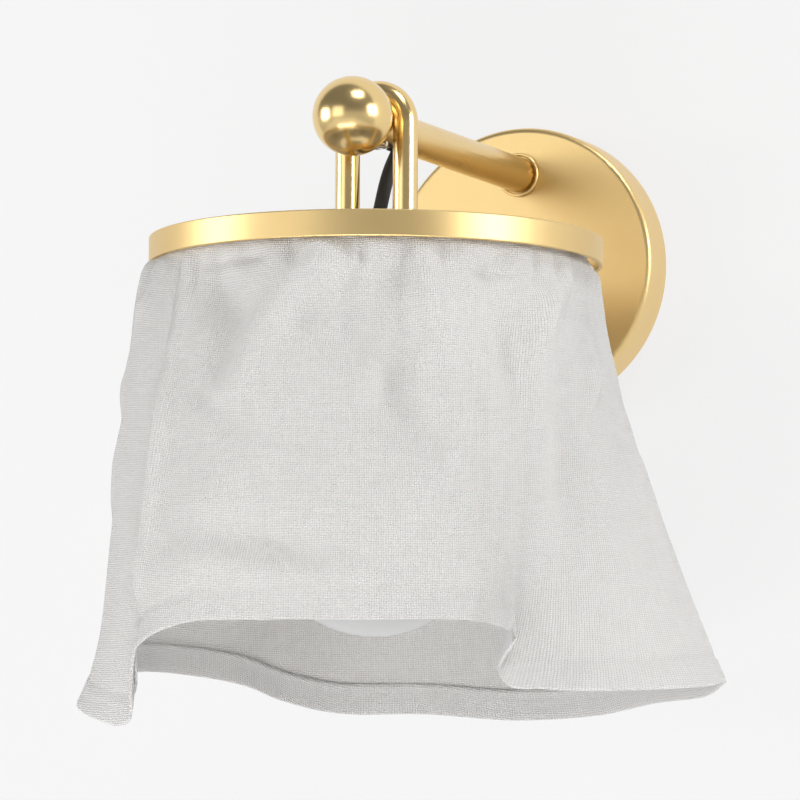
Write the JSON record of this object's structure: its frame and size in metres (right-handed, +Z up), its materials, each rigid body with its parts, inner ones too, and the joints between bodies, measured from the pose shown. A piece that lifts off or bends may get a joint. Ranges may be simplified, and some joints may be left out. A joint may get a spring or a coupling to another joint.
{
  "type": "wall light",
  "caption": "Wall light: round brass wall plate, straight arm with a ball end, and a loosely hung linen shade under a brass hoop on a U-shaped yoke, with a globe bulb.",
  "frame": {"origin": "on the wall, at the centre of the round wall plate", "axes": "+Y into the wall, +Z up, +X to the right of someone facing the wall; the arm runs out along -Y"},
  "size_m": [0.2474, 0.2635, 0.262],
  "materials": {
    "satin_brass": "satin brushed, light warm gold",
    "zinc_steel": "zinc plated",
    "brass_screw": "plain brass set screws",
    "green_screw": "green earth screw",
    "nickel_screw": "bright nickel",
    "white_wire": "white coated wire",
    "black_rubber": "matt black",
    "black_cord": "black braided jacket",
    "linen": "off-white plain woven linen",
    "porcelain": "glazed white",
    "nickel_shell": "nickel plated brass",
    "black_glass": "black base insulator",
    "opal_glass": "opal white, satin",
    "white_plastic": "white",
    "led_board": "aluminium column with LED strips"
  },
  "bodies": {
    "light": {"arm_collar": "satin_brass", "arm_front_plug": "zinc_steel", "arm_nipple": "zinc_steel", "arm_rear_plug": "zinc_steel", "arm_tube": "satin_brass", "backing_washer": "zinc_steel", "centre_contact": "nickel_shell", "clip_screws": "zinc_steel", "cord_bushing": "black_rubber", "cord_drop": "black_cord", "cord_grommet": "black_rubber", "cord_inner": "black_cord", "crush_sleeve": "zinc_steel", "cup_nut": "zinc_steel", "fabric_ring": "white_wire", "fabric_shade": "linen", "ground_screw": "green_screw", "hub_nut": "zinc_steel", "leg_nuts": "satin_brass", "mounting_strap": "zinc_steel", "ring_clips": "zinc_steel", "shade_hoop": "satin_brass", "side_screws": "brass_screw", "socket_body": "porcelain", "socket_cup": "satin_brass", "socket_nipple": "zinc_steel", "socket_shell": "nickel_shell", "socket_spacer": "zinc_steel", "spider": "satin_brass", "star_washer": "zinc_steel", "terminal_screws": "zinc_steel", "wall_nut": "zinc_steel", "wall_plate": "satin_brass", "yoke": "satin_brass", "yoke_screw": "nickel_screw"},
    "finial": {"ball_finial": "satin_brass"},
    "bulb": {"bulb_tip": "nickel_shell", "bulb_insulator": "black_glass", "bulb_screw_shell": "nickel_shell", "bulb_globe": "opal_glass", "bulb_collar": "white_plastic", "led_column": "led_board"}
  },
  "joints": [
    {"name": "finial_turn", "type": "hinge", "parent": "light", "child": "finial", "pos_m": [0, -0.1905, 0.0395], "axis": [0, -1, 0], "range_deg": [0, 1440]},
    {"name": "bulb_turn", "type": "hinge", "parent": "light", "child": "bulb", "pos_m": [0, -0.167, -0.119], "axis": [0, 0, -1], "range_deg": [0, 900]}
  ]
}
